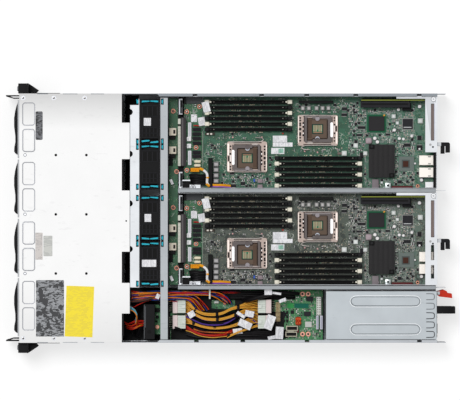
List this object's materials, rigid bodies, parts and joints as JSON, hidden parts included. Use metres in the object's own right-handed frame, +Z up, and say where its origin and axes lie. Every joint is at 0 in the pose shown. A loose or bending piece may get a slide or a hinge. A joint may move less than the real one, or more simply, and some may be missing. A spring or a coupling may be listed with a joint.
{
  "type": "rack server",
  "caption": "Rack server case with its top cover off: pull-out server sleds, lever-latched drive carriers at the front, a row of fans and slide-in power supplies.",
  "frame": {"origin": "centre of the case's underside, midway between its side walls and between its front and rear edges", "axes": "+Y towards the rear, where the sleds and supplies pull out, and the drive bays face -Y; +Z up; +X to the right seen from the front, where the power supplies are"},
  "size_m": [0.4826, 0.8047, 0.087],
  "materials": {
    "case_steel": "bright zinc-coated sheet",
    "cover_steel": "bright zinc-coated sheet with pressed pads",
    "inner_steel": "zinc-coated sheet",
    "sled_steel": "zinc-coated sheet",
    "ear_steel": "zinc-coated steel with black plastic housing",
    "drive_alloy": "cast drive body in a black carrier",
    "lever_plastic": "fine moulded black",
    "board_green": "solder mask",
    "mainboard_green": "solder mask with parts",
    "fan_plastic": "moulded black",
    "pin_rubber": "blue-green silicone",
    "wire_sleeve": "yellow and black wires",
    "supply_steel": "bright sheet with pressed ribs",
    "supply_latch_plastic": "orange-red",
    "sled_latch_plastic": "black",
    "button_plastic": "pale grey caps"
  },
  "bodies": {
    "case": {"bay_frame": "inner_steel", "chassis_tray": "case_steel", "distribution_boards": "board_green", "drive_backplane": "board_green", "drive_cage": "inner_steel", "drive_cage_cover": "cover_steel", "fan_brackets": "inner_steel", "fan_frames": "fan_plastic", "fan_mounts": "pin_rubber", "power_harness": "wire_sleeve", "rack_ear_left": "ear_steel", "rack_ear_right": "ear_steel"},
    "fan_rotor_1": {"fan_rotor_1": "fan_plastic"},
    "fan_rotor_2": {"fan_rotor_2": "fan_plastic"},
    "fan_rotor_3": {"fan_rotor_3": "fan_plastic"},
    "fan_rotor_4": {"fan_rotor_4": "fan_plastic"},
    "drive_carrier_1": {"drive_carrier_1": "drive_alloy"},
    "drive_lever_1": {"drive_lever_1": "lever_plastic"},
    "drive_carrier_2": {"drive_carrier_2": "drive_alloy"},
    "drive_lever_2": {"drive_lever_2": "lever_plastic"},
    "drive_carrier_3": {"drive_carrier_3": "drive_alloy"},
    "drive_lever_3": {"drive_lever_3": "lever_plastic"},
    "drive_carrier_4": {"drive_carrier_4": "drive_alloy"},
    "drive_lever_4": {"drive_lever_4": "lever_plastic"},
    "drive_carrier_5": {"drive_carrier_5": "drive_alloy"},
    "drive_lever_5": {"drive_lever_5": "lever_plastic"},
    "drive_carrier_6": {"drive_carrier_6": "drive_alloy"},
    "drive_lever_6": {"drive_lever_6": "lever_plastic"},
    "drive_carrier_7": {"drive_carrier_7": "drive_alloy"},
    "drive_lever_7": {"drive_lever_7": "lever_plastic"},
    "drive_carrier_8": {"drive_carrier_8": "drive_alloy"},
    "drive_lever_8": {"drive_lever_8": "lever_plastic"},
    "drive_carrier_9": {"drive_carrier_9": "drive_alloy"},
    "drive_lever_9": {"drive_lever_9": "lever_plastic"},
    "drive_carrier_10": {"drive_carrier_10": "drive_alloy"},
    "drive_lever_10": {"drive_lever_10": "lever_plastic"},
    "drive_carrier_11": {"drive_carrier_11": "drive_alloy"},
    "drive_lever_11": {"drive_lever_11": "lever_plastic"},
    "drive_carrier_12": {"drive_carrier_12": "drive_alloy"},
    "drive_lever_12": {"drive_lever_12": "lever_plastic"},
    "sled_1": {"sled_tray_1": "sled_steel", "mainboard_1": "mainboard_green"},
    "sled_latch_1": {"sled_latch_1": "sled_latch_plastic"},
    "sled_2": {"sled_tray_2": "sled_steel", "mainboard_2": "mainboard_green"},
    "sled_latch_2": {"sled_latch_2": "sled_latch_plastic"},
    "sled_3": {"sled_tray_3": "sled_steel", "mainboard_3": "mainboard_green"},
    "sled_latch_3": {"sled_latch_3": "sled_latch_plastic"},
    "sled_4": {"sled_tray_4": "sled_steel", "mainboard_4": "mainboard_green"},
    "sled_latch_4": {"sled_latch_4": "sled_latch_plastic"},
    "power_supply_1": {"power_supply_1": "supply_steel"},
    "supply_latch_1": {"supply_latch_1": "supply_latch_plastic"},
    "power_supply_2": {"power_supply_2": "supply_steel"},
    "supply_latch_2": {"supply_latch_2": "supply_latch_plastic"},
    "power_button_1": {"power_button_1": "button_plastic"},
    "power_button_2": {"power_button_2": "button_plastic"},
    "power_button_3": {"power_button_3": "button_plastic"},
    "power_button_4": {"power_button_4": "button_plastic"}
  },
  "joints": [
    {"name": "fan_spin_1", "type": "hinge", "parent": "case", "child": "fan_rotor_1", "pos_m": [-0.1729, -0.1403, 0.0432], "axis": [0, 1, 0], "continuous": true},
    {"name": "fan_spin_2", "type": "hinge", "parent": "case", "child": "fan_rotor_2", "pos_m": [-0.0919, -0.1403, 0.0432], "axis": [0, 1, 0], "continuous": true},
    {"name": "fan_spin_3", "type": "hinge", "parent": "case", "child": "fan_rotor_3", "pos_m": [-0.0003, -0.1403, 0.0432], "axis": [0, 1, 0], "continuous": true},
    {"name": "fan_spin_4", "type": "hinge", "parent": "case", "child": "fan_rotor_4", "pos_m": [0.0816, -0.1403, 0.0432], "axis": [0, 1, 0], "continuous": true},
    {"name": "drive_slide_1", "type": "slide", "parent": "case", "child": "drive_carrier_1", "axis": [0, -1, 0], "range_m": [0, 0.175]},
    {"name": "drive_lever_swing_1", "type": "hinge", "parent": "drive_carrier_1", "child": "drive_lever_1", "pos_m": [-0.2072, -0.3736, 0.0146], "axis": [0, 0, -1], "range_deg": [0, 50]},
    {"name": "drive_slide_2", "type": "slide", "parent": "case", "child": "drive_carrier_2", "axis": [0, -1, 0], "range_m": [0, 0.175]},
    {"name": "drive_lever_swing_2", "type": "hinge", "parent": "drive_carrier_2", "child": "drive_lever_2", "pos_m": [-0.1008, -0.3736, 0.0146], "axis": [0, 0, -1], "range_deg": [0, 50]},
    {"name": "drive_slide_3", "type": "slide", "parent": "case", "child": "drive_carrier_3", "axis": [0, -1, 0], "range_m": [0, 0.175]},
    {"name": "drive_lever_swing_3", "type": "hinge", "parent": "drive_carrier_3", "child": "drive_lever_3", "pos_m": [0.0056, -0.3736, 0.0146], "axis": [0, 0, -1], "range_deg": [0, 50]},
    {"name": "drive_slide_4", "type": "slide", "parent": "case", "child": "drive_carrier_4", "axis": [0, -1, 0], "range_m": [0, 0.175]},
    {"name": "drive_lever_swing_4", "type": "hinge", "parent": "drive_carrier_4", "child": "drive_lever_4", "pos_m": [0.112, -0.3736, 0.0146], "axis": [0, 0, -1], "range_deg": [0, 50]},
    {"name": "drive_slide_5", "type": "slide", "parent": "case", "child": "drive_carrier_5", "axis": [0, -1, 0], "range_m": [0, 0.175]},
    {"name": "drive_lever_swing_5", "type": "hinge", "parent": "drive_carrier_5", "child": "drive_lever_5", "pos_m": [-0.2072, -0.3736, 0.0428], "axis": [0, 0, -1], "range_deg": [0, 50]},
    {"name": "drive_slide_6", "type": "slide", "parent": "case", "child": "drive_carrier_6", "axis": [0, -1, 0], "range_m": [0, 0.175]},
    {"name": "drive_lever_swing_6", "type": "hinge", "parent": "drive_carrier_6", "child": "drive_lever_6", "pos_m": [-0.1008, -0.3736, 0.0428], "axis": [0, 0, -1], "range_deg": [0, 50]},
    {"name": "drive_slide_7", "type": "slide", "parent": "case", "child": "drive_carrier_7", "axis": [0, -1, 0], "range_m": [0, 0.175]},
    {"name": "drive_lever_swing_7", "type": "hinge", "parent": "drive_carrier_7", "child": "drive_lever_7", "pos_m": [0.0056, -0.3736, 0.0428], "axis": [0, 0, -1], "range_deg": [0, 50]},
    {"name": "drive_slide_8", "type": "slide", "parent": "case", "child": "drive_carrier_8", "axis": [0, -1, 0], "range_m": [0, 0.175]},
    {"name": "drive_lever_swing_8", "type": "hinge", "parent": "drive_carrier_8", "child": "drive_lever_8", "pos_m": [0.112, -0.3736, 0.0428], "axis": [0, 0, -1], "range_deg": [0, 50]},
    {"name": "drive_slide_9", "type": "slide", "parent": "case", "child": "drive_carrier_9", "axis": [0, -1, 0], "range_m": [0, 0.175]},
    {"name": "drive_lever_swing_9", "type": "hinge", "parent": "drive_carrier_9", "child": "drive_lever_9", "pos_m": [-0.2072, -0.3736, 0.071], "axis": [0, 0, -1], "range_deg": [0, 50]},
    {"name": "drive_slide_10", "type": "slide", "parent": "case", "child": "drive_carrier_10", "axis": [0, -1, 0], "range_m": [0, 0.175]},
    {"name": "drive_lever_swing_10", "type": "hinge", "parent": "drive_carrier_10", "child": "drive_lever_10", "pos_m": [-0.1008, -0.3736, 0.071], "axis": [0, 0, -1], "range_deg": [0, 50]},
    {"name": "drive_slide_11", "type": "slide", "parent": "case", "child": "drive_carrier_11", "axis": [0, -1, 0], "range_m": [0, 0.175]},
    {"name": "drive_lever_swing_11", "type": "hinge", "parent": "drive_carrier_11", "child": "drive_lever_11", "pos_m": [0.0056, -0.3736, 0.071], "axis": [0, 0, -1], "range_deg": [0, 50]},
    {"name": "drive_slide_12", "type": "slide", "parent": "case", "child": "drive_carrier_12", "axis": [0, -1, 0], "range_m": [0, 0.175]},
    {"name": "drive_lever_swing_12", "type": "hinge", "parent": "drive_carrier_12", "child": "drive_lever_12", "pos_m": [0.112, -0.3736, 0.071], "axis": [0, 0, -1], "range_deg": [0, 50]},
    {"name": "sled_slide_1", "type": "slide", "parent": "case", "child": "sled_1", "axis": [0, 1, 0], "range_m": [0, 0.45]},
    {"name": "sled_latch_turn_1", "type": "hinge", "parent": "sled_1", "child": "sled_latch_1", "pos_m": [-0.1326, 0.378, 0.0709], "axis": [0, 0, 1], "range_deg": [0, 12], "stiffness_Nm_per_rad": 0.12, "springref_deg": -14.32},
    {"name": "sled_slide_2", "type": "slide", "parent": "case", "child": "sled_2", "axis": [0, 1, 0], "range_m": [0, 0.45]},
    {"name": "sled_latch_turn_2", "type": "hinge", "parent": "sled_2", "child": "sled_latch_2", "pos_m": [0.0404, 0.378, 0.0709], "axis": [0, 0, 1], "range_deg": [0, 12], "stiffness_Nm_per_rad": 0.12, "springref_deg": -14.32},
    {"name": "sled_slide_3", "type": "slide", "parent": "case", "child": "sled_3", "axis": [0, 1, 0], "range_m": [0, 0.45]},
    {"name": "sled_latch_turn_3", "type": "hinge", "parent": "sled_3", "child": "sled_latch_3", "pos_m": [-0.1326, 0.378, 0.028], "axis": [0, 0, 1], "range_deg": [0, 12], "stiffness_Nm_per_rad": 0.12, "springref_deg": -14.32},
    {"name": "sled_slide_4", "type": "slide", "parent": "case", "child": "sled_4", "axis": [0, 1, 0], "range_m": [0, 0.45]},
    {"name": "sled_latch_turn_4", "type": "hinge", "parent": "sled_4", "child": "sled_latch_4", "pos_m": [0.0404, 0.378, 0.028], "axis": [0, 0, 1], "range_deg": [0, 12], "stiffness_Nm_per_rad": 0.12, "springref_deg": -14.32},
    {"name": "supply_slide_1", "type": "slide", "parent": "case", "child": "power_supply_1", "axis": [0, 1, 0], "range_m": [0, 0.2]},
    {"name": "supply_latch_turn_1", "type": "hinge", "parent": "power_supply_1", "child": "supply_latch_1", "pos_m": [0.1341, 0.3764, 0.0644], "axis": [0, 0, -1], "range_deg": [0, 12], "stiffness_Nm_per_rad": 0.12, "springref_deg": -14.32},
    {"name": "supply_slide_2", "type": "slide", "parent": "case", "child": "power_supply_2", "axis": [0, 1, 0], "range_m": [0, 0.2]},
    {"name": "supply_latch_turn_2", "type": "hinge", "parent": "power_supply_2", "child": "supply_latch_2", "pos_m": [0.1341, 0.3764, 0.0215], "axis": [0, 0, -1], "range_deg": [0, 12], "stiffness_Nm_per_rad": 0.12, "springref_deg": -14.32},
    {"name": "power_button_press_1", "type": "slide", "parent": "case", "child": "power_button_1", "axis": [0, 1, 0], "range_m": [0, 0.0012], "stiffness_N_per_m": 400, "springref_m": -0.002},
    {"name": "power_button_press_2", "type": "slide", "parent": "case", "child": "power_button_2", "axis": [0, 1, 0], "range_m": [0, 0.0012], "stiffness_N_per_m": 400, "springref_m": -0.002},
    {"name": "power_button_press_3", "type": "slide", "parent": "case", "child": "power_button_3", "axis": [0, 1, 0], "range_m": [0, 0.0012], "stiffness_N_per_m": 400, "springref_m": -0.002},
    {"name": "power_button_press_4", "type": "slide", "parent": "case", "child": "power_button_4", "axis": [0, 1, 0], "range_m": [0, 0.0012], "stiffness_N_per_m": 400, "springref_m": -0.002}
  ]
}
